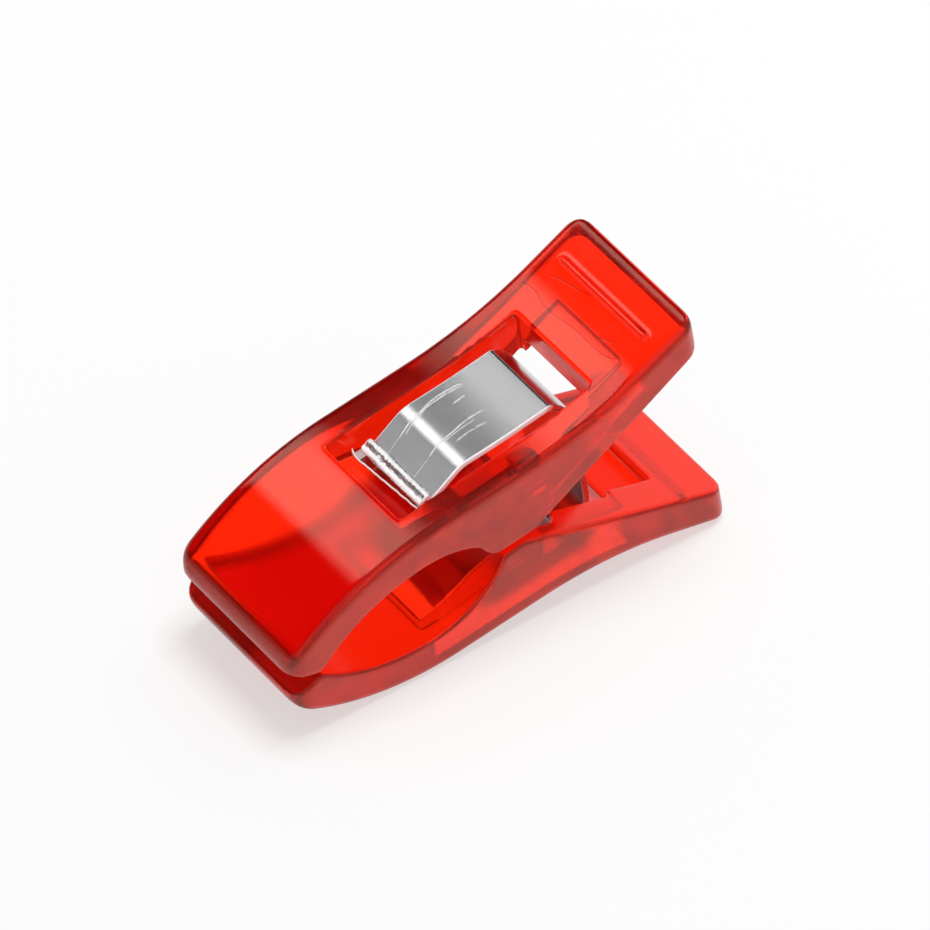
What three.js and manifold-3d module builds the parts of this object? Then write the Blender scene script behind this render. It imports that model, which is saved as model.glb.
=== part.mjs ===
// Sewing clip: two alike moulded jaws that rock on each other, held by one bent spring strip.
// Millimetres and degrees. In a jaw's own frame x runs from the tip to the handle end, y across the
// clip, and z up from the plane where the two jaws meet.
import * as THREE from 'three';
import { mergeVertices } from 'three/addons/utils/BufferGeometryUtils.js';
import Module from 'manifold-3d';

const wasm = await Module();
wasm.setup();

// Jaw, overall
const LENGTH = 26.4;
const WIDTH = 10;
const PLAN_CORNER = 1; // corner radius of tip and handle end, seen from above
const END_ROUND = 0.5; // rounding of the outer edge at tip and handle end, seen from the side
const EDGE_ROUND = 0.45; // rounding of the outer edges along the sides
const JAW_GAP = 0.3; // clearance between the two jaws where they meet

// Jaw, outer face
const ROOF_HEIGHT = 5;
const ARCH_RADIUS = 15.8;
const ARCH_CREST = 9.7;
const SWEEP_START = 15;
const SWEEP_RADIUS = 22;
const PAD_ANGLE = 21; // slope of the thumb pad at the handle end
const RIDGE_TO_END = 2.3; // thumb ridge to handle end
const RIDGE_LENGTH = 7.3;
const RIDGE_RADIUS = 0.25;
const RIDGE_RISE = 0.15;

// Jaw, inner face
const LEAD_IN_HEIGHT = 0.85; // opening of the chamfer at the tip
const LIP_LENGTH = 0.35; // flat gripping lip behind the chamfer
const MOUTH_CREST = 8.5;
const MOUTH_HEIGHT = 2.7;
const MOUTH_FRONT_RADIUS = 10;
const MOUTH_BACK_RADIUS = 5.5;
const FULCRUM = 14.35; // where the jaws rock on each other
const HANDLE_SLOPE = 25;
const FOOT_LENGTH = 1.9; // blunt foot that takes the other jaw's fulcrum
const FOOT_STEP = 0.5;
const FOOT_GAP = 0.45; // foot above the meeting plane

// Window, slot and handle pocket
const WINDOW_FRONT = 8.6;
const WINDOW_LENGTH = 12.1;
const WINDOW_WIDTH = 6.4;
const FLOOR_PLATE = 0.65; // window floor above the mouth
const FLOOR_LOW = 2.3; // lowest height of the window floor
const SLOT_LENGTH = 5.2; // open part of the window, behind the fulcrum
const POCKET_WIDTH = 5.5;
const POCKET_DEPTH = 0.6;
const POCKET_TO_END = 3.1; // pocket to handle end
const RELIEF_WIDTH = 8; // wider hollow between the slot's front and the pocket
const RELIEF_LENGTH = 1.5;
const RELIEF_HEIGHT = 2.5;
const RELIEF_CORNER = 0.7;

// Spring strip
const STRIP_WIDTH = 5;
const STRIP_THICKNESS = 0.35;
const ARM_RISE = 0.05; // top of the strip's arm above the roof
const ARM_CREST = 12.85;
const ARM_BEND = 0.9;
const SEAT_ANGLE = 17; // place of the rolled end on the window floor's arc
const SEAT_GAP = 0.2;
const CURL_RADIUS = 0.3;
const CURL_TURN = 250;
const BACK_TO_SLOT_END = 2.2; // strip's back corner to the slot's end
const BACK_BULGE = 0.9;
const BACK_CORNER = 0.9;
const BACK_EASE = 1.5; // height over which the back curves into its corner

// Steps of the round stretches
const CORNER_STEPS = 7;
const ARC_STEPS = 12;
const EDGE_STEPS = 5;
const STRIP_STEPS = 8;

// How far a cutting shape reaches past what it cuts, and how close two corners are joined into one
const MARGIN = 1;
const WELD = 1e-4;

// Search for the tilt at which the clip lies on a table
const TILT_LIMIT = 45;
const TILT_STEPS = 50;

const rad = THREE.MathUtils.degToRad;
const slope = Math.tan(rad(HANDLE_SLOPE));
const windowBack = WINDOW_FRONT + WINDOW_LENGTH;
const slotFront = windowBack - SLOT_LENGTH;
const mouthFront = MOUTH_CREST - chordHalf(MOUTH_FRONT_RADIUS, MOUTH_HEIGHT - JAW_GAP / 2);
const mouthBack = MOUTH_CREST + chordHalf(MOUTH_BACK_RADIUS, MOUTH_HEIGHT);
const sweepEnd = SWEEP_START + SWEEP_RADIUS * Math.sin(rad(PAD_ANGLE));
const cutReach = faceHeight(LENGTH) + MARGIN;

// Half the chord of a circle, at a given depth below its crest.
function chordHalf(radius, depth) {
  return Math.sqrt(radius ** 2 - (radius - depth) ** 2);
}

// Drop of a circle below its crest, at a given distance from the crest.
function arcDrop(radius, distance) {
  return radius - Math.sqrt(radius ** 2 - distance ** 2);
}

// Height of the mouth's roof at x.
function mouthHeight(x) {
  const radius = x < MOUTH_CREST ? MOUTH_FRONT_RADIUS : MOUTH_BACK_RADIUS;
  return MOUTH_HEIGHT - arcDrop(radius, x - MOUTH_CREST);
}

// What a rounded end takes off at x: the full radius at either end and nothing past the radius.
function endLoss(x, radius) {
  const toEnd = Math.min(x, LENGTH - x);
  return toEnd < radius ? arcDrop(radius, radius - toEnd) : 0;
}

// Height of the outer face at x: front arch, flat roof, handle sweep and straight thumb pad.
function faceHeight(x) {
  if (x < ARCH_CREST) return ROOF_HEIGHT - arcDrop(ARCH_RADIUS, ARCH_CREST - x);
  if (x < SWEEP_START) return ROOF_HEIGHT;
  if (x < sweepEnd) return ROOF_HEIGHT + arcDrop(SWEEP_RADIUS, x - SWEEP_START);
  const sweepRise = arcDrop(SWEEP_RADIUS, sweepEnd - SWEEP_START);
  return ROOF_HEIGHT + sweepRise + (x - sweepEnd) * Math.tan(rad(PAD_ANGLE));
}

function outerHeight(x) {
  return faceHeight(x) - endLoss(x, END_ROUND);
}

function halfWidth(x) {
  return WIDTH / 2 - endLoss(x, PLAN_CORNER);
}

// Places along the jaw where a cross-section is taken, close together on the round ends.
function stations() {
  const ends = [];
  for (let i = 0; i <= CORNER_STEPS; i++) {
    const angle = (i / CORNER_STEPS) * (Math.PI / 2);
    ends.push(PLAN_CORNER * (1 - Math.cos(angle)));
    ends.push(LENGTH - PLAN_CORNER * (1 - Math.cos(angle)));
  }
  const arcs = [];
  for (let i = 0; i <= ARC_STEPS; i++) {
    arcs.push(THREE.MathUtils.lerp(PLAN_CORNER, ARCH_CREST, i / ARC_STEPS));
    arcs.push(THREE.MathUtils.lerp(SWEEP_START, sweepEnd, i / ARC_STEPS));
  }
  const inside = arcs.filter((x) => x > PLAN_CORNER && x < LENGTH - PLAN_CORNER);
  return [...new Set([...ends, ...inside])].sort((a, b) => a - b);
}

// Cross-section of the blank: flat underside, upright sides and a rounded edge along each side.
function blankSection(x) {
  const half = halfWidth(x);
  const top = outerHeight(x);
  const points = [[-half, -MARGIN]];
  for (let i = 0; i <= EDGE_STEPS; i++) {
    const angle = (i / EDGE_STEPS) * (Math.PI / 2);
    const y = -half + EDGE_ROUND * (1 - Math.cos(angle));
    points.push([y, top - EDGE_ROUND * (1 - Math.sin(angle))]);
  }
  const mirrored = points.map(([y, z]) => [-y, z]).reverse();
  return [...points, ...mirrored].map(([y, z]) => [x, y, z]);
}

// Blank of a jaw: the cross-sections joined from tip to handle end.
function jawBlank() {
  const rings = stations().map(blankSection);
  const count = rings[0].length;
  const index = [];
  for (let r = 0; r + 1 < rings.length; r++) {
    for (let k = 0; k < count; k++) {
      const next = (k + 1) % count;
      const [a, b] = [r * count + k, r * count + next];
      const [c, d] = [a + count, b + count];
      index.push(a, d, b, a, c, d);
    }
  }
  const last = (rings.length - 1) * count;
  for (let k = 1; k + 1 < count; k++) {
    index.push(0, k, k + 1);
    index.push(last, last + k + 1, last + k);
  }
  const geometry = new THREE.BufferGeometry();
  geometry.setAttribute('position', new THREE.Float32BufferAttribute(rings.flat(2), 3));
  geometry.setIndex(index);
  return geometry;
}

// Extrudes a side view, drawn in x and z, across the clip from y = from to y = to.
function extrudeAcross(shape, from, to) {
  const options = { depth: to - from, bevelEnabled: false, curveSegments: ARC_STEPS };
  const geometry = new THREE.ExtrudeGeometry(shape, options);
  geometry.rotateX(Math.PI / 2);
  geometry.translate(0, to, 0);
  return geometry;
}

// Side view of the space under a jaw: handle gap, fulcrum, mouth, gripping lip and lead-in chamfer.
function underShape() {
  const right = LENGTH + MARGIN;
  const backZ = MOUTH_HEIGHT - MOUTH_BACK_RADIUS;
  const frontZ = MOUTH_HEIGHT - MOUTH_FRONT_RADIUS;
  const backAngle = Math.acos((mouthBack - MOUTH_CREST) / MOUTH_BACK_RADIUS);
  const frontAngle = Math.acos((mouthFront - MOUTH_CREST) / MOUTH_FRONT_RADIUS);
  const lipFront = mouthFront - LIP_LENGTH;
  const leadSlope = (LEAD_IN_HEIGHT - JAW_GAP / 2) / lipFront;
  const shape = new THREE.Shape();
  shape.moveTo(right, -cutReach);
  shape.lineTo(right, (right - FULCRUM) * slope);
  shape.lineTo(FULCRUM, 0);
  shape.absarc(MOUTH_CREST, backZ, MOUTH_BACK_RADIUS, backAngle, Math.PI / 2, false);
  shape.absarc(MOUTH_CREST, frontZ, MOUTH_FRONT_RADIUS, Math.PI / 2, frontAngle, false);
  shape.lineTo(lipFront, JAW_GAP / 2);
  shape.lineTo(-MARGIN, LEAD_IN_HEIGHT + MARGIN * leadSlope);
  shape.lineTo(-MARGIN, -cutReach);
  return shape;
}

// Side view of the foot: a blunt step down from the mouth's roof that ends short of the meeting plane.
function footShape() {
  const toe = FULCRUM - FOOT_LENGTH;
  const shape = new THREE.Shape();
  shape.moveTo(FULCRUM, FOOT_GAP);
  shape.lineTo(FULCRUM, FLOOR_LOW);
  shape.lineTo(toe - FOOT_STEP, FLOOR_LOW);
  shape.lineTo(toe - FOOT_STEP, mouthHeight(toe - FOOT_STEP));
  shape.quadraticCurveTo(toe, FOOT_GAP, toe + FOOT_STEP, FOOT_GAP);
  return shape;
}

// Side view of the room above the foot's side of the meeting plane, where the other fulcrum comes up.
function footRoomShape() {
  const heel = FULCRUM + FOOT_GAP / slope;
  const shape = new THREE.Shape();
  shape.moveTo(FULCRUM - FOOT_LENGTH, -cutReach);
  shape.lineTo(heel, -cutReach);
  shape.lineTo(heel, FOOT_GAP);
  shape.lineTo(FULCRUM - FOOT_LENGTH, FOOT_GAP);
  return shape;
}

// Side view of the window: a floor that follows the mouth's roof, then an open slot to the inside.
function windowShape() {
  const radius = MOUTH_BACK_RADIUS + FLOOR_PLATE;
  const centreZ = MOUTH_HEIGHT - MOUTH_BACK_RADIUS;
  const lowAngle = Math.asin((FLOOR_LOW - centreZ) / radius);
  const shape = new THREE.Shape();
  shape.moveTo(WINDOW_FRONT, cutReach);
  shape.lineTo(WINDOW_FRONT, MOUTH_HEIGHT + FLOOR_PLATE);
  shape.absarc(MOUTH_CREST, centreZ, radius, Math.PI / 2, lowAngle, true);
  shape.lineTo(slotFront, FLOOR_LOW);
  shape.lineTo(slotFront, -cutReach);
  shape.lineTo(windowBack, -cutReach);
  shape.lineTo(windowBack, cutReach);
  return shape;
}

// Side view of the pocket in the handle's inner face, with its ceiling along that face.
function pocketShape() {
  const back = LENGTH - POCKET_TO_END;
  const rise = POCKET_DEPTH / Math.cos(rad(HANDLE_SLOPE));
  const ceiling = (x) => (x - FULCRUM) * slope + rise;
  const shape = new THREE.Shape();
  shape.moveTo(slotFront, -cutReach);
  shape.lineTo(back, -cutReach);
  shape.lineTo(back, ceiling(back));
  shape.lineTo(slotFront, ceiling(slotFront));
  return shape;
}

// Hollow behind the fulcrum that thins both side walls, with rounded rear corners seen from below.
function reliefGeometry() {
  const back = slotFront + RELIEF_LENGTH;
  const half = RELIEF_WIDTH / 2;
  const shape = new THREE.Shape();
  shape.moveTo(slotFront, -half);
  shape.lineTo(back - RELIEF_CORNER, -half);
  shape.quadraticCurveTo(back, -half, back, -half + RELIEF_CORNER);
  shape.lineTo(back, half - RELIEF_CORNER);
  shape.quadraticCurveTo(back, half, back - RELIEF_CORNER, half);
  shape.lineTo(slotFront, half);
  const options = { depth: cutReach + RELIEF_HEIGHT, bevelEnabled: false, curveSegments: EDGE_STEPS };
  const geometry = new THREE.ExtrudeGeometry(shape, options);
  geometry.translate(0, 0, -cutReach);
  return geometry;
}

// Half-round ridge across the thumb pad, with ball ends.
function ridgeGeometry() {
  const x = LENGTH - RIDGE_TO_END;
  const middle = RIDGE_LENGTH - 2 * RIDGE_RADIUS;
  const geometry = new THREE.CapsuleGeometry(RIDGE_RADIUS, middle, EDGE_STEPS, 2 * ARC_STEPS);
  geometry.translate(x, 0, outerHeight(x) + RIDGE_RISE - RIDGE_RADIUS);
  return geometry;
}

// Turns a closed geometry into a solid that can be joined and cut.
function solid(geometry) {
  const bare = geometry.clone();
  bare.deleteAttribute('normal');
  bare.deleteAttribute('uv');
  const merged = mergeVertices(bare, WELD);
  const vertProperties = merged.attributes.position.array;
  const triVerts = merged.index.array;
  return new wasm.Manifold(new wasm.Mesh({ numProp: 3, vertProperties, triVerts }));
}

// Turns a solid back into a geometry.
function geometryOf(body) {
  const mesh = body.getMesh();
  const geometry = new THREE.BufferGeometry();
  geometry.setAttribute('position', new THREE.Float32BufferAttribute(mesh.vertProperties, 3));
  geometry.setIndex(new THREE.Uint32BufferAttribute(mesh.triVerts, 1));
  geometry.computeVertexNormals();
  return geometry;
}

// One moulded jaw. Both jaws of the clip come out of the same mould.
function jawGeometry() {
  const outside = WIDTH / 2 + MARGIN;
  const body = solid(jawBlank())
    .add(solid(ridgeGeometry()))
    .subtract(solid(extrudeAcross(underShape(), -outside, outside)))
    .subtract(solid(extrudeAcross(footRoomShape(), -outside, JAW_GAP / 2)))
    .add(solid(extrudeAcross(footShape(), -WIDTH / 2, 0)))
    .subtract(solid(extrudeAcross(windowShape(), -WINDOW_WIDTH / 2, WINDOW_WIDTH / 2)))
    .subtract(solid(extrudeAcross(pocketShape(), -POCKET_WIDTH / 2, POCKET_WIDTH / 2)))
    .subtract(solid(reliefGeometry()));
  return geometryOf(body);
}

// Points along an arc, without its first point.
function arcPoints(centre, radius, from, to, steps) {
  const points = [];
  for (let i = 1; i <= steps; i++) {
    const angle = THREE.MathUtils.lerp(from, to, i / steps);
    const spoke = new THREE.Vector2(Math.cos(angle), Math.sin(angle));
    points.push(spoke.multiplyScalar(radius).add(centre));
  }
  return points;
}

// Points of a bend of given radius at a corner between two straight stretches.
function bendPoints(before, corner, after, radius) {
  const into = before.clone().sub(corner).normalize();
  const out = after.clone().sub(corner).normalize();
  const half = Math.acos(into.dot(out)) / 2;
  const reach = radius / Math.tan(half);
  const start = corner.clone().addScaledVector(into, reach);
  const end = corner.clone().addScaledVector(out, reach);
  return new THREE.QuadraticBezierCurve(start, corner, end).getPoints(STRIP_STEPS);
}

// Middle line of the strip's upper half in x and z, from the rolled end back to the meeting plane.
function armLine() {
  const armZ = ROOF_HEIGHT + ARM_RISE - STRIP_THICKNESS / 2;
  const seat = MOUTH_BACK_RADIUS + FLOOR_PLATE + SEAT_GAP + CURL_RADIUS + STRIP_THICKNESS / 2;
  const curlX = MOUTH_CREST + seat * Math.sin(rad(SEAT_ANGLE));
  const curlZ = MOUTH_HEIGHT - MOUTH_BACK_RADIUS + seat * Math.cos(rad(SEAT_ANGLE));
  const curl = new THREE.Vector2(curlX, curlZ);
  const crest = new THREE.Vector2(ARM_CREST, armZ);
  const toCrest = crest.clone().sub(curl);
  const leave = toCrest.angle() - Math.acos(CURL_RADIUS / toCrest.length());
  const rolled = arcPoints(curl, CURL_RADIUS, leave - rad(CURL_TURN), leave, 2 * STRIP_STEPS);
  const corner = new THREE.Vector2(windowBack - BACK_TO_SLOT_END, armZ);
  const back = new THREE.Vector2(corner.x + BACK_BULGE, 0);
  const crestBend = bendPoints(rolled.at(-1), crest, corner, ARM_BEND);
  const lean = new THREE.Vector2(corner.x + BACK_BULGE, BACK_EASE);
  const cornerBend = bendPoints(crest, corner, lean, BACK_CORNER);
  const backCurve = new THREE.QuadraticBezierCurve(cornerBend.at(-1), lean, back).getPoints(STRIP_STEPS);
  return [...rolled, ...crestBend, ...cornerBend, ...backCurve.slice(1)];
}

// Side view of the strip: its middle line with half the thickness laid off on both sides.
function stripShape() {
  const upper = armLine();
  const lower = upper.slice(0, -1).reverse().map((p) => new THREE.Vector2(p.x, -p.y));
  const line = [...upper, ...lower];
  const sides = line.map((point, i) => {
    const before = line[Math.max(i - 1, 0)];
    const after = line[Math.min(i + 1, line.length - 1)];
    const along = after.clone().sub(before).normalize();
    return new THREE.Vector2(-along.y, along.x).multiplyScalar(STRIP_THICKNESS / 2);
  });
  const left = line.map((point, i) => point.clone().add(sides[i]));
  const right = line.map((point, i) => point.clone().sub(sides[i]));
  return new THREE.Shape([...left, ...right.reverse()]);
}

function stripGeometry() {
  return extrudeAcross(stripShape(), -STRIP_WIDTH / 2, STRIP_WIDTH / 2);
}

// Tilt at which the closed clip rests on the arch and the handle end of its lower jaw.
function restingTilt() {
  const places = stations();
  const height = (x, tilt) => x * Math.sin(tilt) - outerHeight(x) * Math.cos(tilt);
  const lowest = (list, tilt) => Math.min(...list.map((x) => height(x, tilt)));
  const front = places.filter((x) => x <= SWEEP_START);
  const rear = places.filter((x) => x > SWEEP_START);
  let low = 0;
  let high = rad(TILT_LIMIT);
  for (let i = 0; i < TILT_STEPS; i++) {
    const middle = (low + high) / 2;
    if (lowest(front, middle) > lowest(rear, middle)) low = middle;
    else high = middle;
  }
  return low;
}

const redPlastic = new THREE.MeshStandardMaterial({ color: 0xe01010, roughness: 0.12, metalness: 0 });
const springSteel = new THREE.MeshStandardMaterial({ color: 0xc4c6c8, roughness: 0.28, metalness: 1 });

function namedMesh(name, geometry, material) {
  const mesh = new THREE.Mesh(geometry, material);
  mesh.name = name;
  return mesh;
}

const jaw = jawGeometry();
const upperJaw = namedMesh('upper_jaw', jaw, redPlastic);
const lowerJaw = namedMesh('lower_jaw', jaw, redPlastic.clone());
lowerJaw.rotation.x = Math.PI;
const springStrip = namedMesh('spring_strip', stripGeometry(), springSteel);

// The clip as it lies on a table, with the origin under the middle of its outline.
const clip = new THREE.Group();
clip.add(upperJaw, lowerJaw, springStrip);
clip.rotation.y = -restingTilt();
clip.updateMatrixWorld(true);
const reach = new THREE.Box3().setFromObject(clip, true);
clip.position.set(-(reach.min.x + reach.max.x) / 2, 0, -reach.min.z);

const part = new THREE.Group();
part.add(clip);
part.updateMatrixWorld(true);

export default part;
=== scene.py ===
import math

import bmesh
import bpy
from mathutils import Matrix, Vector, noise


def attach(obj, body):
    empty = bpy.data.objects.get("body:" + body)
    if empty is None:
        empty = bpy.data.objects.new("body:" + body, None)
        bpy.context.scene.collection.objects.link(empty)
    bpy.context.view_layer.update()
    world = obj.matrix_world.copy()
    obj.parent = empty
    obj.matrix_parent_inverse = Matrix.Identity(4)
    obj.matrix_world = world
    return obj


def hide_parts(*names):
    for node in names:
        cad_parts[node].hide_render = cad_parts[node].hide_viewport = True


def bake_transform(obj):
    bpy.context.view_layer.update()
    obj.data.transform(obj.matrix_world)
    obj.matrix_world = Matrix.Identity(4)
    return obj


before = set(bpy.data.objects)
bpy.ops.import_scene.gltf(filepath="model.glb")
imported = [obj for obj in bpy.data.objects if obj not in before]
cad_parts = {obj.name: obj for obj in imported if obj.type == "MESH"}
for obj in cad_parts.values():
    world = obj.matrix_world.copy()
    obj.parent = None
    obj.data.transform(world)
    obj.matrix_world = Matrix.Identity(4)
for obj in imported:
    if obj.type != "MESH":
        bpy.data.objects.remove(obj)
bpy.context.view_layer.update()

# Sizes of the clip in millimetres and degrees, as in the part's source. In a jaw's own frame x runs from
# the tip to the handle end, y across the clip and z up from the plane where the jaws meet.
LENGTH, WIDTH = 26.4, 10.0
PLAN_CORNER, END_ROUND, EDGE_ROUND = 1.0, 0.5, 0.45
JAW_GAP = 0.3
ROOF_HEIGHT = 5.0
ARCH_RADIUS, ARCH_CREST = 15.8, 9.7
SWEEP_START, SWEEP_RADIUS = 15.0, 22.0
PAD_ANGLE = 21.0
RIDGE_TO_END, RIDGE_LENGTH, RIDGE_RADIUS, RIDGE_RISE = 2.3, 7.3, 0.25, 0.15
LEAD_IN_HEIGHT, LIP_LENGTH = 0.85, 0.35
MOUTH_CREST, MOUTH_HEIGHT = 8.5, 2.7
MOUTH_FRONT_RADIUS, MOUTH_BACK_RADIUS = 10.0, 5.5
FULCRUM = 14.35
HANDLE_SLOPE = 25.0
FOOT_LENGTH, FOOT_STEP, FOOT_GAP = 1.9, 0.5, 0.45
WINDOW_FRONT, WINDOW_LENGTH, WINDOW_WIDTH = 8.6, 12.1, 6.4
FLOOR_PLATE, FLOOR_LOW = 0.65, 2.3
SLOT_LENGTH = 5.2
POCKET_WIDTH, POCKET_DEPTH, POCKET_TO_END = 5.5, 0.6, 3.1
RELIEF_WIDTH, RELIEF_LENGTH, RELIEF_HEIGHT, RELIEF_CORNER = 8.0, 1.5, 2.5, 0.7
STRIP_WIDTH, STRIP_THICKNESS = 5.0, 0.35
ARM_RISE, BACK_TO_SLOT_END = 0.05, 2.2

# How the clip lies on the table
TILT = 8.611
JAW_ORIGIN = (-13.51, 0.0, 3.668)

# Fineness of the visual model, and the rounding of edges that the part's source leaves sharp
VOXEL = 0.1
ROUNDING = 6
UNDER_ROUND = 0.18
STRIP_EDGE = 0.06

# Shapes that follow the photograph more closely than the part's source: the lean of the pocket's floor, the
# strip's arm as slopes in degrees at places along the jaw, its back, and the crumpled roll at its end
POCKET_LEAN = 7.0
ARM_CREST = 13.45
ARM_SLOPES = (
    (12.6, 29), (12.95, 16), (13.2, 6), (13.45, 0), (14.0, -0.7),
    (15.0, -0.3), (16.0, 1.2), (16.8, 2.5), (18.0, 2.5),
)
BACK_CORNER, BACK_FALL, BACK_RADIUS = 0.15, 32.0, 2.6
ROLL_CENTRE, ROLL_RADIUS, ROLL_TURN = (10.68, 3.95), 0.3, 290.0
ROLL_LOBES, ROLL_LOBE_DEPTH, ROLL_LOBE_WANDER = (75.0, 157.0), 0.12, 14
ROLL_CRUMPLE, ROLL_BURR, ROLL_BURR_SPREAD, ROLL_FADE = 0.05, 0.3, 40, 4

# Thin lip in front of the roll, with a painted highlight on its upper half
LIP_BASE, LIP_TOP, LIP_THICKNESS = (10.1, 3.35), (10.02, 3.7), 0.07
LIP_SKEW, LIP_WAVE, LIP_INSET = -0.07, 0.03, 0.05
LIP_REACH, LIP_HOOK, LIP_HOOK_START = 0.4, 0.25, 0.2

# Noise on the roll and its lip: waves in a millimetre along them, and degrees in a wave round the roll
WANDER_WAVES, BURR_WAVES, CRUMPLE_WAVES, LIP_WAVES = 1.1, 14, 9, 2.5
CRUMPLE_DEGREES = 12

# Along the strip, as run from the crest: where the roll starts, one of its lobes and their pitch (where
# painted highlights lie on the roll), and where the painted highlight along the cut edges ends. The plain
# part of the lip and its part with a painted highlight have runs of their own.
ROLL_RUN, LOBE_RUN, LOBE_PITCH, CUT_HIGHLIGHT_END = -3.0, -4.1, 0.43, 5.4
LIP_PLAIN, LIP_HIGHLIGHT = 0.5 * ROLL_RUN, 2 * ROLL_RUN
LIP_HIGHLIGHT_BAND = (1.5 * ROLL_RUN, 1.6 * ROLL_RUN)

MM = 0.001
MARGIN, TINY, WELD = 1.0, 1e-3, 1e-5
SLOPE = math.tan(math.radians(HANDLE_SLOPE))
WINDOW_BACK = WINDOW_FRONT + WINDOW_LENGTH
SLOT_FRONT = WINDOW_BACK - SLOT_LENGTH
SWEEP_END = SWEEP_START + SWEEP_RADIUS * math.sin(math.radians(PAD_ANGLE))


def arc_drop(radius, distance):
    return radius - math.sqrt(radius**2 - distance**2)


def chord_half(radius, depth):
    return math.sqrt(radius**2 - (radius - depth) ** 2)


MOUTH_FRONT = MOUTH_CREST - chord_half(MOUTH_FRONT_RADIUS, MOUTH_HEIGHT - JAW_GAP / 2)
MOUTH_BACK = MOUTH_CREST + chord_half(MOUTH_BACK_RADIUS, MOUTH_HEIGHT)


def mouth_height(x):
    radius = MOUTH_FRONT_RADIUS if x < MOUTH_CREST else MOUTH_BACK_RADIUS
    return MOUTH_HEIGHT - arc_drop(radius, x - MOUTH_CREST)


def end_loss(x, radius):
    to_end = min(x, LENGTH - x)
    return arc_drop(radius, radius - to_end) if to_end < radius else 0.0


def face_height(x):
    if x < ARCH_CREST:
        return ROOF_HEIGHT - arc_drop(ARCH_RADIUS, ARCH_CREST - x)
    if x < SWEEP_START:
        return ROOF_HEIGHT
    if x < SWEEP_END:
        return ROOF_HEIGHT + arc_drop(SWEEP_RADIUS, x - SWEEP_START)
    rise = arc_drop(SWEEP_RADIUS, SWEEP_END - SWEEP_START)
    return ROOF_HEIGHT + rise + (x - SWEEP_END) * math.tan(math.radians(PAD_ANGLE))


REACH = face_height(LENGTH) + MARGIN


def spread(start, end, count):
    return [start + (end - start) * i / count for i in range(count + 1)]


def mesh_object(name, points, faces):
    mesh = bpy.data.meshes.new(name)
    mesh.from_pydata(points, [], faces)
    made = bpy.data.objects.new(name, mesh)
    bpy.context.scene.collection.objects.link(made)
    tool = bmesh.new()
    tool.from_mesh(mesh)
    bmesh.ops.remove_doubles(tool, verts=tool.verts, dist=WELD)
    bmesh.ops.recalc_face_normals(tool, faces=tool.faces)
    tool.to_mesh(mesh)
    tool.free()
    return made


def tube(name, rings):
    """A closed body through rings of equally many points, with flat ends."""
    count = len(rings[0])
    points = [p for r in rings for p in r]
    faces = [tuple(range(count)), tuple(range(len(points) - count, len(points)))]
    for r in range(len(rings) - 1):
        for k in range(count):
            a, b = r * count + k, r * count + (k + 1) % count
            faces.append((a, b, b + count, a + count))
    return mesh_object(name, points, faces)


def across(name, outline, low, high):
    """A side view in x and z, carried across the clip from y = low to y = high."""
    return tube(name, [[(x, low, z) for x, z in outline], [(x, high, z) for x, z in outline]])


def upright(name, outline, low, high):
    """A plan in x and y, carried up from z = low to z = high."""
    return tube(name, [[(x, y, low) for x, y in outline], [(x, y, high) for x, y in outline]])


def arc(x, z, radius, start, end, count=48):
    return [(x + radius * math.cos(a), z + radius * math.sin(a)) for a in spread(start, end, count)]


def jaw_section(x):
    half = WIDTH / 2 - end_loss(x, PLAN_CORNER)
    top = face_height(x) - end_loss(x, END_ROUND)
    side = [(-half, -MARGIN)]
    for a in spread(0, math.pi / 2, 8):
        side.append((-half + EDGE_ROUND * (1 - math.cos(a)), top - EDGE_ROUND * (1 - math.sin(a))))
    return [(x, y, z) for y, z in side] + [(x, -y, z) for y, z in reversed(side)]


def jaw_blank():
    ends = [PLAN_CORNER * (1 - math.cos(a)) for a in spread(0, math.pi / 2, 14)]
    middle = spread(PLAN_CORNER, LENGTH - PLAN_CORNER, 140)[1:-1]
    places = ends + middle + [LENGTH - x for x in reversed(ends)]
    return tube("blank", [jaw_section(x) for x in places])


def under_jaw():
    right = LENGTH + MARGIN
    lip_front = MOUTH_FRONT - LIP_LENGTH
    lead = (LEAD_IN_HEIGHT - JAW_GAP / 2) / lip_front
    back_angle = math.acos((MOUTH_BACK - MOUTH_CREST) / MOUTH_BACK_RADIUS)
    front_angle = math.acos((MOUTH_FRONT - MOUTH_CREST) / MOUTH_FRONT_RADIUS)
    outline = [(right, -REACH), (right, (right - FULCRUM) * SLOPE), (FULCRUM, 0)]
    back_centre, front_centre = MOUTH_HEIGHT - MOUTH_BACK_RADIUS, MOUTH_HEIGHT - MOUTH_FRONT_RADIUS
    back = arc(MOUTH_CREST, back_centre, MOUTH_BACK_RADIUS, back_angle, math.pi / 2)
    front = arc(MOUTH_CREST, front_centre, MOUTH_FRONT_RADIUS, math.pi / 2, front_angle)
    outline += back[1:] + front[1:]
    outline += [(lip_front, JAW_GAP / 2), (-MARGIN, LEAD_IN_HEIGHT + MARGIN * lead), (-MARGIN, -REACH)]
    edge = WIDTH / 2
    places = spread(edge - UNDER_ROUND, edge, 8)
    rings = []
    for y in [-WIDTH] + [-y for y in reversed(places)] + places + [WIDTH]:
        lift = arc_drop(UNDER_ROUND, min(abs(y), edge) - edge + UNDER_ROUND)
        rings.append([(x, y, z + lift) for x, z in outline])
    return tube("under", rings)


def foot_room():
    toe, heel = FULCRUM - FOOT_LENGTH, FULCRUM + FOOT_GAP / SLOPE
    outline = [(toe, -REACH), (heel, -REACH), (heel, FOOT_GAP), (toe, FOOT_GAP)]
    return across("foot_room", outline, -WIDTH, JAW_GAP / 2)


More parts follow.
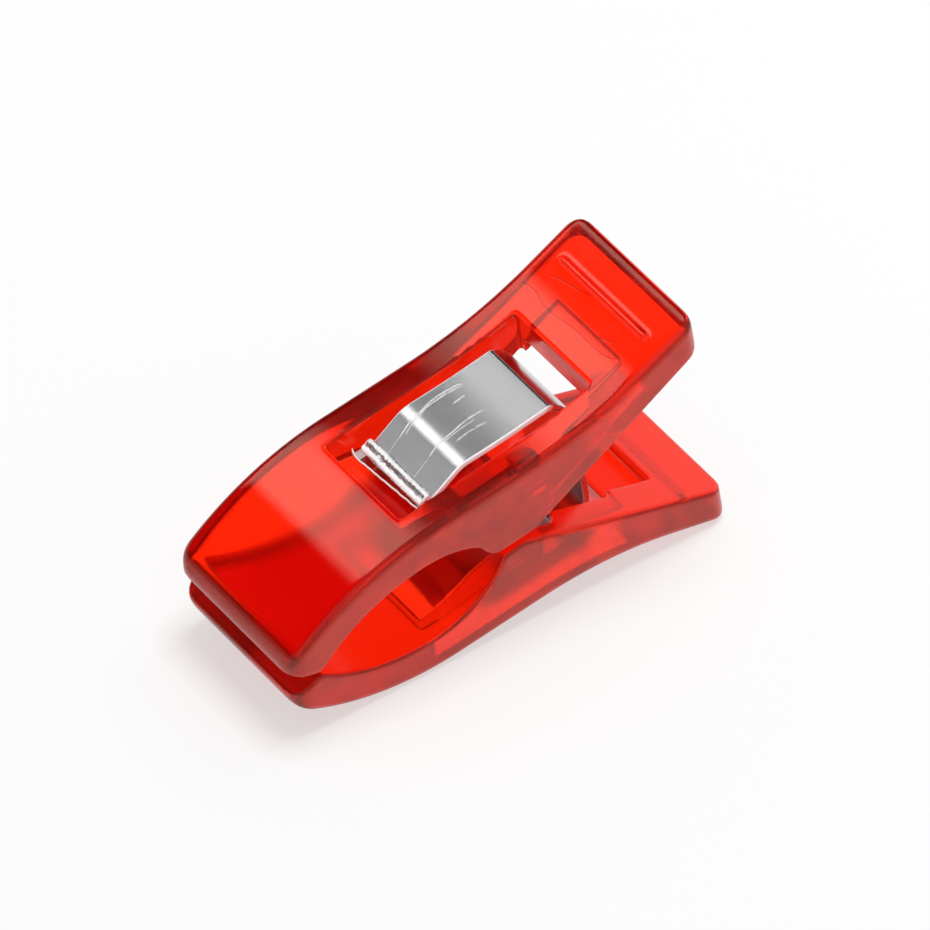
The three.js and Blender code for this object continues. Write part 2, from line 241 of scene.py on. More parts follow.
def foot():
    toe = FULCRUM - FOOT_LENGTH
    top = mouth_height(toe - FOOT_STEP)
    outline = [(FULCRUM, FOOT_GAP), (FULCRUM, FLOOR_LOW), (toe - FOOT_STEP, FLOOR_LOW)]
    for t in spread(0, 1, 10):
        x = toe - FOOT_STEP + 2 * FOOT_STEP * t
        outline.append((x, top * (1 - t) ** 2 + FOOT_GAP * (1 - (1 - t) ** 2)))
    return across("foot", outline, -WIDTH / 2, 0)


def window():
    radius = MOUTH_BACK_RADIUS + FLOOR_PLATE
    centre = MOUTH_HEIGHT - MOUTH_BACK_RADIUS
    low_angle = math.asin((FLOOR_LOW - centre) / radius)
    outline = [(WINDOW_FRONT, REACH), (WINDOW_FRONT, MOUTH_HEIGHT + FLOOR_PLATE)]
    outline += arc(MOUTH_CREST, centre, radius, math.pi / 2, low_angle)
    outline += [(SLOT_FRONT, FLOOR_LOW), (SLOT_FRONT, -REACH), (WINDOW_BACK, -REACH), (WINDOW_BACK, REACH)]
    return across("window", outline, -WINDOW_WIDTH / 2, WINDOW_WIDTH / 2)


def pocket():
    back = LENGTH - POCKET_TO_END
    rise = POCKET_DEPTH / math.cos(math.radians(HANDLE_SLOPE))
    lean = (back - SLOT_FRONT) * math.tan(math.radians(POCKET_LEAN))
    outline = [(SLOT_FRONT, -REACH), (back, -REACH), (back, (back - FULCRUM) * SLOPE + rise)]
    outline += [(SLOT_FRONT, (SLOT_FRONT - FULCRUM) * SLOPE + rise + lean)]
    return across("pocket", outline, -POCKET_WIDTH / 2, POCKET_WIDTH / 2)


def relief():
    back, half = SLOT_FRONT + RELIEF_LENGTH, RELIEF_WIDTH / 2
    corner = arc(back - RELIEF_CORNER, half - RELIEF_CORNER, RELIEF_CORNER, math.pi / 2, 0, 8)
    outline = [(SLOT_FRONT, half)] + corner + [(x, -y) for x, y in reversed(corner)] + [(SLOT_FRONT, -half)]
    return upright("relief", outline, -REACH, RELIEF_HEIGHT)


def ridge():
    x = LENGTH - RIDGE_TO_END
    z = face_height(x) + RIDGE_RISE - RIDGE_RADIUS
    half = RIDGE_LENGTH / 2 - RIDGE_RADIUS
    rings = []
    for a in spread(-math.pi / 2, math.pi / 2, 24):
        y = math.copysign(half, a) + RIDGE_RADIUS * math.sin(a) if a else 0
        radius = max(RIDGE_RADIUS * math.cos(a), TINY) if a else RIDGE_RADIUS
        turn = spread(0, 2 * math.pi, 24)[:-1]
        rings.append([(x + radius * math.cos(t), y, z + radius * math.sin(t)) for t in turn])
    return tube("ridge", rings)


def join_or_cut(body, tool, operation):
    change = body.modifiers.new(tool.name, "BOOLEAN")
    change.operation = operation
    change.solver = "EXACT"
    change.object = tool


def evaluated_mesh(made):
    bpy.context.view_layer.update()
    return bpy.data.meshes.new_from_object(made.evaluated_get(bpy.context.evaluated_depsgraph_get()))


def jaw_mesh():
    """One jaw in its own frame, with every edge softened as it comes out of a mould."""
    body = jaw_blank()
    steps = [
        (ridge(), "UNION"),
        (under_jaw(), "DIFFERENCE"),
        (foot_room(), "DIFFERENCE"),
        (foot(), "UNION"),
        (window(), "DIFFERENCE"),
        (pocket(), "DIFFERENCE"),
        (relief(), "DIFFERENCE"),
    ]
    for tool, operation in steps:
        join_or_cut(body, tool, operation)
    even = body.modifiers.new("even", "REMESH")
    even.mode = "VOXEL"
    even.voxel_size = VOXEL
    even.use_smooth_shade = True
    soft = body.modifiers.new("soft", "SMOOTH")
    soft.factor = 0.5
    soft.iterations = ROUNDING
    mesh = evaluated_mesh(body)
    for made in [body] + [tool for tool, _ in steps]:
        bpy.data.objects.remove(made)
    return mesh


LYING = (
    Matrix.Translation(Vector(JAW_ORIGIN) * MM)
    @ Matrix.Rotation(-math.radians(TILT), 4, "Y")
    @ Matrix.Scale(MM, 4)
)


def bend(before, corner, after, radius, count=14):
    """Points of a bend at a corner between two straight stretches."""
    into, out = (before - corner).normalized(), (after - corner).normalized()
    reach = radius / math.tan(into.angle(out) / 2)
    start, end = corner + into * reach, corner + out * reach
    return [start * (1 - t) ** 2 + corner * 2 * t * (1 - t) + end * t**2 for t in spread(0, 1, count)]


def slope_at(x):
    """Slope of the strip's arm in degrees, straight between the given places."""
    for (x0, slope0), (x1, slope1) in zip(ARM_SLOPES, ARM_SLOPES[1:]):
        if x <= x1:
            return slope0 + (slope1 - slope0) * (x - x0) / (x1 - x0)
    return ARM_SLOPES[-1][1]


def arm_line():
    """Middle line of the upper arm behind the ramp, level with its crest at the top."""
    places = spread(ARM_SLOPES[0][0], ARM_SLOPES[-1][0], 72)
    line = [Vector((places[0], 0))]
    for x0, x1 in zip(places, places[1:]):
        rise = (x1 - x0) * math.tan(math.radians(slope_at((x0 + x1) / 2)))
        line.append(Vector((x1, line[-1].y + rise)))
    lift = ROOF_HEIGHT + ARM_RISE - STRIP_THICKNESS / 2 - max(p.y for p in line if p.x < ARM_CREST + MARGIN)
    return [p + Vector((0, lift)) for p in line]


def strip_line():
    """Middle line of the strip in x and z, from the upper rolled end round the back to the lower one,
    with the number of its first points that are rolled."""
    arm = arm_line()
    centre = Vector(ROLL_CENTRE)
    to_arm = arm[0] - centre
    leave = math.atan2(to_arm.y, to_arm.x) - math.acos(ROLL_RADIUS / to_arm.length)
    turned = arc(*ROLL_CENTRE, ROLL_RADIUS, leave - math.radians(ROLL_TURN), leave, 56)
    rolled = [Vector(p) for p in turned]
    ramp = [rolled[-1].lerp(arm[0], t) for t in spread(0, 1, 24)[1:-1]]
    corner_x = WINDOW_BACK - BACK_TO_SLOT_END
    end_slope = math.tan(math.radians(ARM_SLOPES[-1][1]))
    corner = Vector((corner_x, arm[-1].y + (corner_x - arm[-1].x) * end_slope))
    falls = [math.radians(a) for a in spread(BACK_FALL, 90, 24)]
    start_x, start_z = math.sin(falls[0]), math.cos(falls[0])
    bow = [corner + BACK_RADIUS * Vector((math.sin(a) - start_x, math.cos(a) - start_z)) for a in falls]
    corner_bend = bend(arm[-1], corner, bow[1], BACK_CORNER)
    flat = [p for p in arm if p.x < corner_bend[0].x - STRIP_EDGE]
    fall = [p for p in bow if p.x > corner_bend[-1].x + STRIP_EDGE]
    straight = [fall[-1].lerp(Vector((fall[-1].x, 0)), t) for t in spread(0, 1, 10)[1:]]
    upper = rolled + ramp + flat + corner_bend + fall + straight
    return upper + [Vector((p.x, -p.y)) for p in reversed(upper[:-1])], len(rolled)


def strip_section():
    """Cross-section of the strip: y across and n out of its plane, with softened edges."""
    half, thick = STRIP_WIDTH / 2, STRIP_THICKNESS / 2
    quarter = [(half - STRIP_EDGE + STRIP_EDGE * math.cos(a), thick - STRIP_EDGE + STRIP_EDGE * math.sin(a))
               for a in spread(0, math.pi / 2, 4)]
    top = [(y, thick) for y in spread(half - STRIP_EDGE, -half + STRIP_EDGE, 96)[1:-1]]
    upper = quarter + top + [(-y, n) for y, n in reversed(quarter)]
    return upper + [(-y, -n) for y, n in upper]


def crumple(angle, y):
    """How far the roll's outside stands out at an angle round it: two lobes along its width, and burrs."""
    first, last = ROLL_LOBES
    wander = ROLL_LOBE_WANDER * noise.noise(Vector((WANDER_WAVES * y, 0, 4.0)))
    lobes = math.cos(2 * math.pi * (angle + wander - first) / (last - first)) - 1
    near_first = max(0.0, 1 - abs(angle - first) / ROLL_BURR_SPREAD)
    spikes = max(0.0, noise.noise(Vector((BURR_WAVES * y, 0, 7.0)))) * near_first
    rough = noise.noise(Vector((angle / CRUMPLE_DEGREES, CRUMPLE_WAVES * y, 0)))
    return ROLL_LOBE_DEPTH / 2 * lobes + ROLL_CRUMPLE * rough + ROLL_BURR * spikes


def strip_rings(line, rolled):
    section = strip_section()
    run = [0.0]
    for a, b in zip(line, line[1:]):
        run.append(run[-1] + (b - a).length)
    rings = []
    for i, p in enumerate(line):
        along = (line[min(i + 1, len(line) - 1)] - line[max(i - 1, 0)]).normalized()
        side = Vector((-along.y, along.x))
        to_end = min(i, len(line) - 1 - i)
        turned = math.degrees(math.atan2(abs(p.y) - ROLL_CENTRE[1], p.x - ROLL_CENTRE[0])) % 360
        ring = []
        for y, n in section:
            place = p + side * n
            if n < 0 and to_end < rolled:
                place -= side * crumple(turned, y) * min(1.0, ROLL_FADE * (1 - to_end / rolled))
            ring.append((place.x, y, place.y))
        rings.append(ring)
    return rings, run, section


def lip():
    """Thin edge in front of the roll, bent up into a small hook at one end, with a painted highlight on its
    upper half.
    """
    half = STRIP_WIDTH / 2
    rings = []
    for y in spread(-half + LIP_INSET, half + LIP_REACH, 60):
        hook = LIP_HOOK * max(0.0, (y - half + LIP_HOOK_START) / (LIP_REACH + LIP_HOOK_START)) ** 2
        wave = LIP_SKEW * y + LIP_WAVE * noise.noise(Vector((LIP_WAVES * y, 3.0, 0)))
        top = (LIP_TOP[0] + wave + hook / 2, LIP_TOP[1] + hook)
        base = (LIP_BASE[0] + wave, LIP_BASE[1] + hook / 2)
        ring = [base, (ROLL_CENTRE[0], base[1]), (ROLL_CENTRE[0], base[1] + LIP_THICKNESS)]
        ring += [(base[0] + LIP_THICKNESS, base[1] + LIP_THICKNESS), (top[0] + LIP_THICKNESS, top[1]), top]
        rings.append([(x, y, z) for x, z in ring])
    made = tube("lip", rings)
    layer = made.data.uv_layers.new(name="strip")
    for loop in made.data.loops:
        at = made.data.vertices[loop.vertex_index].co
        # The lip's upper half takes the run of its painted highlight
        highlit = at.z > (LIP_BASE[1] + LIP_TOP[1]) / 2
        layer.data[loop.index].uv = (LIP_HIGHLIGHT if highlit else LIP_PLAIN, at.y)
    return made


def spring():
    line, rolled = strip_line()
    rings, run, section = strip_rings(line, rolled)
    made = tube("spring_strip_bent", rings)
    crest = min(range(len(line)), key=lambda i: abs(line[i].x - ARM_CREST) - line[i].y)
    count = len(section)
    layer = made.data.uv_layers.new(name="strip")
    for loop in made.data.loops:
        r, k = divmod(loop.vertex_index, count)
        layer.data[loop.index].uv = (run[r] - run[crest], section[k][0])
    joined = bmesh.new()
    joined.from_mesh(made.data)
    for turn in (Matrix.Identity(4), Matrix.Rotation(math.pi, 4, "X")):
        edge = lip()
        edge.data.transform(turn)
        joined.from_mesh(edge.data)
        bpy.data.objects.remove(edge)
    joined.to_mesh(made.data)
    joined.free()
    for face in made.data.polygons:
        face.use_smooth = True
    made.data.transform(LYING)
    return made


# Materials


class Nodes:
    """A node tree with short calls to add and join nodes."""

    LEAST_SPAN = 0.01

    def __init__(self, tree):
        self.tree = tree
        tree.nodes.clear()

    def add(self, kind, **settings):
        node = self.tree.nodes.new(kind)
        for key, value in settings.items():
            setattr(node, key, value)
        return node

    def link(self, source, target):
        self.tree.links.new(source, target)

    def math(self, operation, *values):
        node = self.add("ShaderNodeMath", operation=operation)
        for socket, value in zip(node.inputs, values):
            if isinstance(value, (int, float)):
                socket.default_value = value
            else:
                self.link(value, socket)
        return node.outputs[0]

    def noise(self, vector, scale, detail=2.0, roughness=0.5):
        node = self.add("ShaderNodeTexNoise")
        node.inputs["Scale"].default_value = scale
        node.inputs["Detail"].default_value = detail
        node.inputs["Roughness"].default_value = roughness
        self.link(vector, node.inputs["Vector"])
        return node.outputs["Fac"]

    def range(self, value, low, high, new_low, new_high):
        node = self.add("ShaderNodeMapRange")
        self.link(value, node.inputs["Value"])
        names, numbers = ("From Min", "From Max", "To Min", "To Max"), (low, high, new_low, new_high)
        for name, number in zip(names, numbers):
            node.inputs[name].default_value = number
        return node.outputs[0]

    def curve(self, value, points):
        """A smooth line through points of (value, height)."""
        first, last = points[0][0], points[-1][0]
        low = min(h for _, h in points)
        span = max(h for _, h in points) - low + self.LEAST_SPAN
        node = self.add("ShaderNodeFloatCurve")
        line = node.mapping.curves[0]
        places = [((v - first) / (last - first), (h - low) / span) for v, h in points]
        line.points[0].location, line.points[1].location = places[0], places[-1]
        for place in places[1:-1]:
            line.points.new(*place)
        node.mapping.update()
        self.link(self.range(value, first, last, 0, 1), node.inputs["Value"])
        return self.math("MULTIPLY_ADD", node.outputs[0], span, low)

    def scratch(self, along, aside, points, width, fade=0.25):
        """1 on a hair line through points of (along, aside), fading at its ends and 0 away from it."""
        off = self.math("ABSOLUTE", self.math("SUBTRACT", aside, self.curve(along, points)))
        near = self.range(off, 0, width, 1, 0)
        first, last = points[0][0], points[-1][0]
        begun = self.range(along, first, first + fade, 0, 1)
        going = self.range(along, last, last - fade, 0, 1)
        return self.math("MULTIPLY", near, self.math("MULTIPLY", begun, going))

    def total(self, values):
        result = values[0]
        for value in values[1:]:
            result = self.math("ADD", result, value)
        return result

    def tint(self, factor, first, second):
        """A colour between two, by a factor from 0 to 1."""
        return self.blend(factor, (*first, 1), second)

    def blend(self, factor, first, second):
        """A given or linked colour turning into a second one, by a factor from 0 to 1."""
        node = self.add("ShaderNodeMix", data_type="RGBA")
        self.link(factor, node.inputs[0])
        if isinstance(first, tuple):
            node.inputs[6].default_value = first
        else:
            self.link(first, node.inputs[6])
        node.inputs[7].default_value = (*second, 1)
        return node.outputs[2]

    def split(self, vector):
        node = self.add("ShaderNodeSeparateXYZ")
        self.link(vector, node.inputs[0])
        return node.outputs

    def mapping(self, vector, location=(0, 0, 0), rotation=(0, 0, 0), scale=(1, 1, 1)):
        node = self.add("ShaderNodeMapping")
        self.link(vector, node.inputs["Vector"])
        for name, value in zip(("Location", "Rotation", "Scale"), (location, rotation, scale)):
            node.inputs[name].default_value = value
        return node.outputs[0]

    def bump(self, height, strength, distance):
        node = self.add("ShaderNodeBump")
        node.inputs["Strength"].default_value = strength
        node.inputs["Distance"].default_value = distance
        self.link(height, node.inputs["Height"])
        return node.outputs[0]


def new_material(name):
    material = bpy.data.materials.new(name)
    material.use_nodes = True
    return material, Nodes(material.node_tree)


# Where the values of a noise mostly lie
NOISE_SPAN = (0.3, 0.7)

# Clear red plastic: its body and hair scratches, the painted shade of its rims and of the ridge's flanks,
# its flow marks, and its mirror, inside and shadow
PLASTIC_TINT, PLASTIC_HAIR = (1.0, 0.03, 0.006), (0.3, 0.008, 0.003)
PLASTIC_RIM_SHADE, PLASTIC_FLOW = (0.42, 0.008, 0.012), (0.72, 0.012, 0.014)
PLASTIC_MIRROR, PLASTIC_INSIDE, PLASTIC_SHADOW = (1.0, 0.86, 0.68), (0.94, 0.7, 0.4), (0.5, 0.2, 0.17)
PLASTIC_IOR, PLASTIC_DENSITY = 1.53, 1000
# The jaws are one moulding: their side walls differ in clearness only to set how bright each renders in
# this light, as painted light and shade
FACE_CLEARNESS, SIDE_CLEARNESS = 0.92, {"upper_jaw": 0.62, "lower_jaw": 0.76}
# RIM_SHADE_SHARE and RIDGE_SHADE_SHARE set how far painted shade darkens the rim band and the ridge's
# flanks
RIM_SHADE_SHARE, RIDGE_SHADE_SHARE, FLOW_SHARE, FLOW_NOISE = 0.8, 0.6, 0.7, (0.45, 0.65)
FACE_ROUGHNESS, SIDE_ROUGHNESS, INNER_ROUGHNESS = (0.05, 0.09), 0.15, 0.16
SCUFF_ROUGHNESS, SCUFF_NOISE, SCUFF_STRETCH = 0.12, (0.72, 0.8), (0.7, 6, 3)
PLASTIC_GRAIN, PLASTIC_BUMP, PLASTIC_BUMP_HEIGHT = 0.12, 0.25, 0.00004
# Bands over which its looks change, in millimetres: across the jaw, below the outer face, and at the ridge,
# where painted shade darkens the rounded rim and the ridge's flanks
SIDE_BAND = (WIDTH / 2 - 0.3, WIDTH / 2 - 0.05)
RIM_START_BAND, RIM_END_BAND = (WIDTH / 2 - 0.52, WIDTH / 2 - 0.36), (WIDTH / 2 - 0.02, WIDTH / 2 - 0.12)
INNER_BAND, OUTER_BAND, HAIR_BAND = (0.4, 0.8), (0.55, 0.35), (0.5, 0.3)
RIDGE_BAND, RIDGE_END_BAND = (0.34, 0.22), (RIDGE_LENGTH / 2, RIDGE_LENGTH / 2 - 0.2)
# Hair scratches on the upper handle, in millimetres, through points of (across, along). The points of the
# short tick are (along, across).
HAIR_WIDTH, HAIR_DEPTH, TICK_WIDTH, TICK_FADE = 0.07, 0.1, 0.06, 0.1
HAIRS = (
    ((-3.35, 22.85), (-2.3, 22.1), (-0.2, 22.08), (2.1, 21.88), (3.5, 22.1), (4.4, 21.7)),
    ((0.5, 23.82), (1.5, 23.55), (2.6, 23.34), (3.5, 23.07)),
    ((-2.4, 22.9), (-1.4, 22.55)),
)
HAIR_TICK = ((22.1, 2.14), (22.5, 2.1))


def red_plastic(body, turn):
    material, n = new_material("red_plastic_" + body)
    to_jaw = Matrix.Rotation(turn, 4, "X") @ Matrix.Rotation(math.radians(TILT), 4, "Y")
    place = n.mapping(n.add("ShaderNodeTexCoord").outputs["Object"], -(to_jaw @ Vector(JAW_ORIGIN)),
                      to_jaw.to_euler("XYZ"), (1 / MM, 1 / MM, 1 / MM))
    x, y, z = n.split(place)
    aside = n.math("ABSOLUTE", y)
    face = n.curve(x, [(at, face_height(at)) for at in spread(0, LENGTH, 12)])
    depth = n.math("SUBTRACT", face, z)
    satin = n.range(aside, *SIDE_BAND, 0, 1)
    inner = n.range(depth, *INNER_BAND, 0, 1)
    outer = n.range(depth, *OUTER_BAND, 0, 1)
    cloud = n.noise(place, scale=0.35, detail=3)
    grain = n.noise(place, scale=2.6, detail=4)
    streaks = n.noise(n.mapping(place, scale=SCUFF_STRETCH), scale=1.4, detail=3, roughness=0.7)
    swirls = n.noise(place, scale=0.6, detail=3)
    flow = n.math("MULTIPLY", satin, n.range(swirls, *FLOW_NOISE, 0, FLOW_SHARE))
    # Painted shade: a dark band along the rounded rim below the outer face, and dark lines along the
    # ridge's flanks
    rim_shade_start = n.range(aside, *RIM_START_BAND, 0, RIM_SHADE_SHARE)
    rim_shade_end = n.range(aside, *RIM_END_BAND, 0, 1)
    rim_shade = n.math("MULTIPLY", rim_shade_start, n.math("MULTIPLY", rim_shade_end, outer))
    from_ridge = n.math("ABSOLUTE", n.math("SUBTRACT", x, LENGTH - RIDGE_TO_END))
    ridge_shade_across = n.range(from_ridge, *RIDGE_BAND, 0, RIDGE_SHADE_SHARE)
    ridge_shade_along = n.range(aside, *RIDGE_END_BAND, 0, 1)
    ridge_shade = n.math("MULTIPLY", ridge_shade_across, n.math("MULTIPLY", ridge_shade_along, outer))
    shader = n.add("ShaderNodeBsdfPrincipled")
    shader.inputs["IOR"].default_value = PLASTIC_IOR
    shader.inputs["Specular Tint"].default_value = (*PLASTIC_MIRROR, 1)
    # Side walls less clear than the faces, by an amount that differs per jaw as painted light and shade
    n.link(n.range(satin, 0, 1, FACE_CLEARNESS, SIDE_CLEARNESS[body]), shader.inputs["Transmission Weight"])
    moulded_colour = n.tint(flow, PLASTIC_TINT, PLASTIC_FLOW)
    # The moulded colour darkened by the painted shade of the rim and the ridge
    colour = n.blend(n.math("MAXIMUM", rim_shade, ridge_shade), moulded_colour, PLASTIC_RIM_SHADE)
    height = n.math("MULTIPLY", grain, PLASTIC_GRAIN)
    if body == "upper_jaw":
        lines = [n.scratch(y, x, points, HAIR_WIDTH) for points in HAIRS]
        lines.append(n.scratch(x, y, HAIR_TICK, TICK_WIDTH, TICK_FADE))
        marks = n.math("MULTIPLY", n.total(lines), n.range(depth, *HAIR_BAND, 0, 1))
        colour = n.blend(n.math("MINIMUM", marks, 1.0), colour, PLASTIC_HAIR)
        height = n.math("SUBTRACT", height, n.math("MULTIPLY", marks, HAIR_DEPTH))
    n.link(colour, shader.inputs["Base Color"])
    gloss = n.range(cloud, *NOISE_SPAN, *FACE_ROUGHNESS)
    scuff = n.range(streaks, *SCUFF_NOISE, 0, SCUFF_ROUGHNESS)
    dull_side = n.math("MULTIPLY", satin, SIDE_ROUGHNESS)
    dull_inside = n.math("MULTIPLY", inner, INNER_ROUGHNESS)
    rough = n.total([gloss, scuff, n.math("MAXIMUM", dull_side, dull_inside)])
    n.link(rough, shader.inputs["Roughness"])
    n.link(n.bump(height, PLASTIC_BUMP, PLASTIC_BUMP_HEIGHT), shader.inputs["Normal"])
    clear = n.add("ShaderNodeBsdfTransparent")
    clear.inputs["Color"].default_value = (*PLASTIC_SHADOW, 1)
    path = n.add("ShaderNodeLightPath")
    mix = n.add("ShaderNodeMixShader")
    n.link(path.outputs["Is Shadow Ray"], mix.inputs[0])
    n.link(shader.outputs[0], mix.inputs[1])
    n.link(clear.outputs[0], mix.inputs[2])
    inside = n.add("ShaderNodeVolumeAbsorption")
    inside.inputs["Color"].default_value = (*PLASTIC_INSIDE, 1)
    inside.inputs["Density"].default_value = PLASTIC_DENSITY
    out = n.add("ShaderNodeOutputMaterial")
    n.link(mix.outputs[0], out.inputs["Surface"])
    n.link(inside.outputs[0], out.inputs["Volume"])
    return material


# Bright steel, and its pale worn colour where it is scratched and crushed, also used for painted highlights
# along its cut edges, on the roll's lobes and on the lip
STEEL_BARE, STEEL_WORN_AND_HIGHLIT = (0.6, 0.6, 0.61), (0.95, 0.95, 0.95)
WORN_AND_HIGHLIT_METALLIC, WORN_AND_HIGHLIT_ROUGHNESS = 0.1, 0.25
GRAIN_ROUGHNESS, CLOUD_ROUGHNESS = (0.14, 0.2), 0.06
STEEL_GRAIN, STEEL_SPECK, STEEL_BUMP, STEEL_BUMP_HEIGHT = 0.35, 0.8, 0.3, 0.00003
GRAIN_STRETCH, BREAK_STRETCH = (1.0, 7.0, 1.0), (1.0, 5.0, 1.0)
BREAK_NOISE, BREAK_SHARE = (0.35, 0.55), 0.25
# CUT_HIGHLIGHT_BAND and CUT_HIGHLIGHT_FADE place a painted highlight along the strip's cut edges
CUT_HIGHLIGHT_BAND, CUT_HIGHLIGHT_FADE, ROLL_EDGE = (STRIP_WIDTH / 2 - 0.1, STRIP_WIDTH / 2 - 0.04), 0.5, 0.1
# Scratches on the strip, as points of (run from the crest, across) and a width, and two rows of dots
STEEL_SCRATCHES = (
    (((-1.6, 1.42), (-0.95, 1.52), (0.07, 1.68), (1.57, 1.92), (2.88, 1.61)), 0.09),
    (((-1.28, 1.25), (-0.05, 1.52), (0.97, 1.74), (2.11, 1.74), (2.76, 1.45)), 0.07),
    (((-1.3, -0.74), (-0.25, -0.58), (0.69, -0.46), (1.66, -0.31), (2.72, -0.42)), 0.08),
    (((-0.3, -0.75), (0.8, -0.6), (2.0, -0.55)), 0.05),
    (((0.26, -1.18), (1.22, -1.03), (2.3, -1.12)), 0.07),
    (((1.56, 0.99), (2.57, 1.07)), 0.08),
)
STEEL_DOTS = (((-2.75, 1.32), (-1.4, 1.46)), ((-2.6, -0.82), (-1.2, -0.74)))
DOT_WIDTH, DOT_RATE, DOT_BAND = 0.05, 42.0, (-0.2, 0.4)
# How far specks break up the painted highlights on the roll's lobes, and where a lobe's painted highlight
# begins
LOBE_HIGHLIGHT_SPECK, LOBE_HIGHLIGHT_BAND = (-0.7, 0.7), (-0.5, 0.3)


def spring_steel():
    material, n = new_material("spring_steel")
    place = n.add("ShaderNodeTexCoord").outputs["UV"]
    u, v, _ = n.split(place)
    grain = n.noise(n.mapping(place, scale=GRAIN_STRETCH), scale=2.2, detail=5, roughness=0.65)
    speck = n.noise(place, scale=12.0, detail=4, roughness=0.7)
    cloud = n.noise(place, scale=0.8, detail=3)
    breaks = n.noise(n.mapping(place, scale=BREAK_STRETCH), scale=3.0, detail=3)
    lines = n.total([n.scratch(u, v, points, width) for points, width in STEEL_SCRATCHES])
    lines = n.math("MULTIPLY", lines, n.range(breaks, *BREAK_NOISE, BREAK_SHARE, 1))
    rows = n.total([n.scratch(u, v, points, DOT_WIDTH) for points in STEEL_DOTS])
    dotted = n.range(n.math("SINE", n.math("MULTIPLY", u, DOT_RATE)), *DOT_BAND, 0, 1)
    marks = n.math("MINIMUM", n.math("ADD", lines, n.math("MULTIPLY", rows, dotted)), 1.0)
    roll = n.range(u, ROLL_RUN, ROLL_RUN - ROLL_EDGE, 0, 1)
    # Painted highlight along the cut edges, up to CUT_HIGHLIGHT_END
    at_edge = n.range(n.math("ABSOLUTE", v), *CUT_HIGHLIGHT_BAND, 0, 1)
    cut_edge_highlight = n.math("MULTIPLY", at_edge, n.range(u, CUT_HIGHLIGHT_END, CUT_HIGHLIGHT_END - CUT_HIGHLIGHT_FADE, 0, 1))
    # Painted highlights on the roll's lobes, at their pitch along the strip, broken up by specks
    lobe = n.math("COSINE", n.math("MULTIPLY", n.math("SUBTRACT", u, LOBE_RUN), 2 * math.pi / LOBE_PITCH))
    lobe_highlight = n.range(n.math("ADD", lobe, n.range(speck, *NOISE_SPAN, *LOBE_HIGHLIGHT_SPECK)), *LOBE_HIGHLIGHT_BAND, 0, 1)
    # The roll takes the pale colour as crushed steel with painted highlights, and the lip's upper half as a
    # painted highlight
    crushed_and_highlit = n.math("MULTIPLY", roll, n.math("MAXIMUM", lobe_highlight, n.range(u, *LIP_HIGHLIGHT_BAND, 0, 1)))
    # The pale colour covers the real scratches and dots, the crushed roll, and painted highlights along the
    # cut edges, on the roll's lobes and on the lip
    worn_and_highlit = n.math("MAXIMUM", n.math("MAXIMUM", marks, cut_edge_highlight), crushed_and_highlit)
    shader = n.add("ShaderNodeBsdfPrincipled")
    n.link(n.tint(worn_and_highlit, STEEL_BARE, STEEL_WORN_AND_HIGHLIT), shader.inputs["Base Color"])
    n.link(n.range(worn_and_highlit, 0, 1, 1.0, WORN_AND_HIGHLIT_METALLIC), shader.inputs["Metallic"])
    brushed = n.range(grain, *NOISE_SPAN, *GRAIN_ROUGHNESS)
    clouded = n.range(cloud, *NOISE_SPAN, 0, CLOUD_ROUGHNESS)
    rough = n.total([brushed, clouded, n.math("MULTIPLY", worn_and_highlit, WORN_AND_HIGHLIT_ROUGHNESS)])
    n.link(rough, shader.inputs["Roughness"])
    grained = n.math("MULTIPLY", grain, STEEL_GRAIN)
    height = n.total([grained, n.math("MULTIPLY", speck, STEEL_SPECK), marks])
    n.link(n.bump(height, STEEL_BUMP, STEEL_BUMP_HEIGHT), shader.inputs["Normal"])
    out = n.add("ShaderNodeOutputMaterial")
    n.link(shader.outputs[0], out.inputs["Surface"])
    return material


# The clip

steel = spring_steel()
moulded = jaw_mesh()
jaws = []
for body, turn in (("upper_jaw", 0.0), ("lower_jaw", math.pi)):
    mesh = moulded.copy()
    mesh.transform(LYING @ Matrix.Rotation(turn, 4, "X"))
    mesh.materials.append(red_plastic(body, turn))
    shown = bpy.data.objects.new(body + "_moulded", mesh)
    bpy.context.scene.collection.objects.link(shown)
    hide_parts(body)
    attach(shown, body)
    jaws.append(shown)

strip = spring()
strip.data.materials.append(steel)
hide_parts("spring_strip")
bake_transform(strip)


# Studio: pale table, soft light and a camera at the photograph's angle

# The table's colour, its own glow and what is added to that through the plastic, how far it lies under the
# clip in millimetres, and half its width in metres
TABLE_PALE, TABLE_GLOW, TABLE_GLOW_THROUGH = (0.35, 0.35, 0.35), 0.57, 0.6
TABLE_DROP, TABLE_REACH = 0.04, 2
# Strength of the room on surfaces, through the plastic and in reflections, and the leftward and upward
# parts of a direction between which its reflection turns pale
WORLD_EVEN, WORLD_THROUGH, WORLD_DARK, WORLD_PALE = 0.6, 0.65, 0.025, 0.6
PALE_LEFT, PALE_LOW = (0.35, 0.1), (0.32, 0.12)
AIM = Vector((0, 0, 0.007))


def table_material():
    material, n = new_material("table")
    path = n.add("ShaderNodeLightPath")
    surface = n.add("ShaderNodeBsdfDiffuse")
    surface.inputs["Color"].default_value = (*TABLE_PALE, 1)
    glow = n.add("ShaderNodeEmission")
    through = n.math("MULTIPLY", path.outputs["Is Transmission Ray"], TABLE_GLOW_THROUGH)
    n.link(n.math("ADD", through, TABLE_GLOW), glow.inputs["Strength"])
    both = n.add("ShaderNodeAddShader")
    n.link(surface.outputs[0], both.inputs[0])
    n.link(glow.outputs[0], both.inputs[1])
    out = n.add("ShaderNodeOutputMaterial")
    n.link(both.outputs[0], out.inputs["Surface"])
    return material


